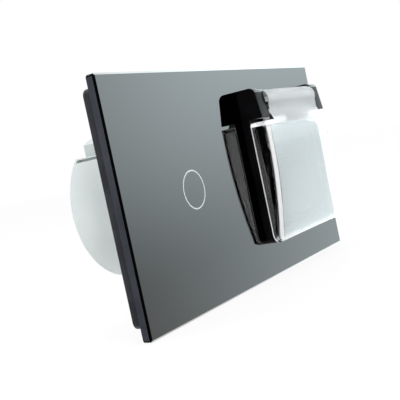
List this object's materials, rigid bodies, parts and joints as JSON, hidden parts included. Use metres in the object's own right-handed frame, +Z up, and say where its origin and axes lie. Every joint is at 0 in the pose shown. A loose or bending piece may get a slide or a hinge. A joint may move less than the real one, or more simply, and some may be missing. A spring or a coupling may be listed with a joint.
{
  "type": "touch light switch with covered socket",
  "caption": "Horizontal black glass wall plate with a touch light switch on one half and, on the other, a splash-proof plug socket under a sprung clear lid.",
  "frame": {"origin": "on the wall plane, in the middle of the web between the two halves of the rear frame", "axes": "+X to the right along the plate, +Y into the wall, +Z up"},
  "size_m": [0.151, 0.0482, 0.08],
  "materials": {
    "glass": "polished clear glass",
    "black_print": "black print on the back of the glass",
    "black_plastic": "fine matt moulded",
    "clear_plastic": "clear, slightly milky",
    "pale_plastic": "smooth moulded",
    "guide_plastic": "translucent",
    "steel_sheet": "plated sheet",
    "steel_turned": "turned and plated",
    "spring_steel": "bright spring wire",
    "brass": "bright",
    "rubber": "soft seal",
    "pad_foam": "conductive foam",
    "board": "lacquered circuit board",
    "terminal_plastic": "moulded",
    "chip": "moulded",
    "led": "clear lens",
    "relay_case": "moulded case",
    "film_case": "dipped",
    "can": "sleeved can",
    "ferrite": "sintered",
    "shutter_plastic": "moulded",
    "carrier_plastic": "moulded"
  },
  "bodies": {
    "base": {"glass_panel": "glass", "back_print": "black_print", "rear_frame": "black_plastic", "light_guide": "guide_plastic", "touch_pad": "pad_foam", "touch_board": "board", "touch_chip": "chip", "indicator_leds": "led", "board_header": "chip", "switch_tray": "pale_plastic", "switch_yoke": "steel_sheet", "switch_screws": "steel_turned", "switch_housing": "pale_plastic", "power_board": "board", "relay": "relay_case", "film_capacitor": "film_case", "storage_capacitor": "can", "choke": "ferrite", "switch_terminals": "terminal_plastic", "switch_clamps": "brass", "switch_clamp_screws": "steel_turned", "socket_collar": "black_plastic", "collar_gasket": "rubber", "lid_seal": "rubber", "hinge_pins": "steel_turned", "lid_spring": "spring_steel", "socket_insert": "black_plastic", "insert_screw": "steel_turned", "shutter_spring": "spring_steel", "contact_carrier": "carrier_plastic", "live_contact": "brass", "neutral_contact": "brass", "earth_strap": "brass", "socket_tray": "pale_plastic", "socket_yoke": "steel_sheet", "socket_screws": "steel_turned", "socket_housing": "pale_plastic", "socket_terminals": "terminal_plastic", "socket_clamps": "brass", "socket_clamp_screws": "steel_turned"},
    "lid": {"lid": "clear_plastic"},
    "shutter": {"shutter": "shutter_plastic"}
  },
  "joints": [
    {"name": "lid_hinge", "type": "hinge", "parent": "base", "child": "lid", "pos_m": [0.0355, -0.0134, 0.0262], "axis": [-1, 0, 0], "range_deg": [0, 105], "stiffness_Nm_per_rad": 0.02, "springref_deg": -17.19, "deforming": ["lid_spring"]},
    {"name": "shutter_turn", "type": "hinge", "parent": "base", "child": "shutter", "pos_m": [0.0355, 0.0103, 0], "axis": [0, 1, 0], "range_deg": [0, 50], "stiffness_Nm_per_rad": 0.005, "springref_deg": -11.46, "deforming": ["shutter_spring"]}
  ]
}
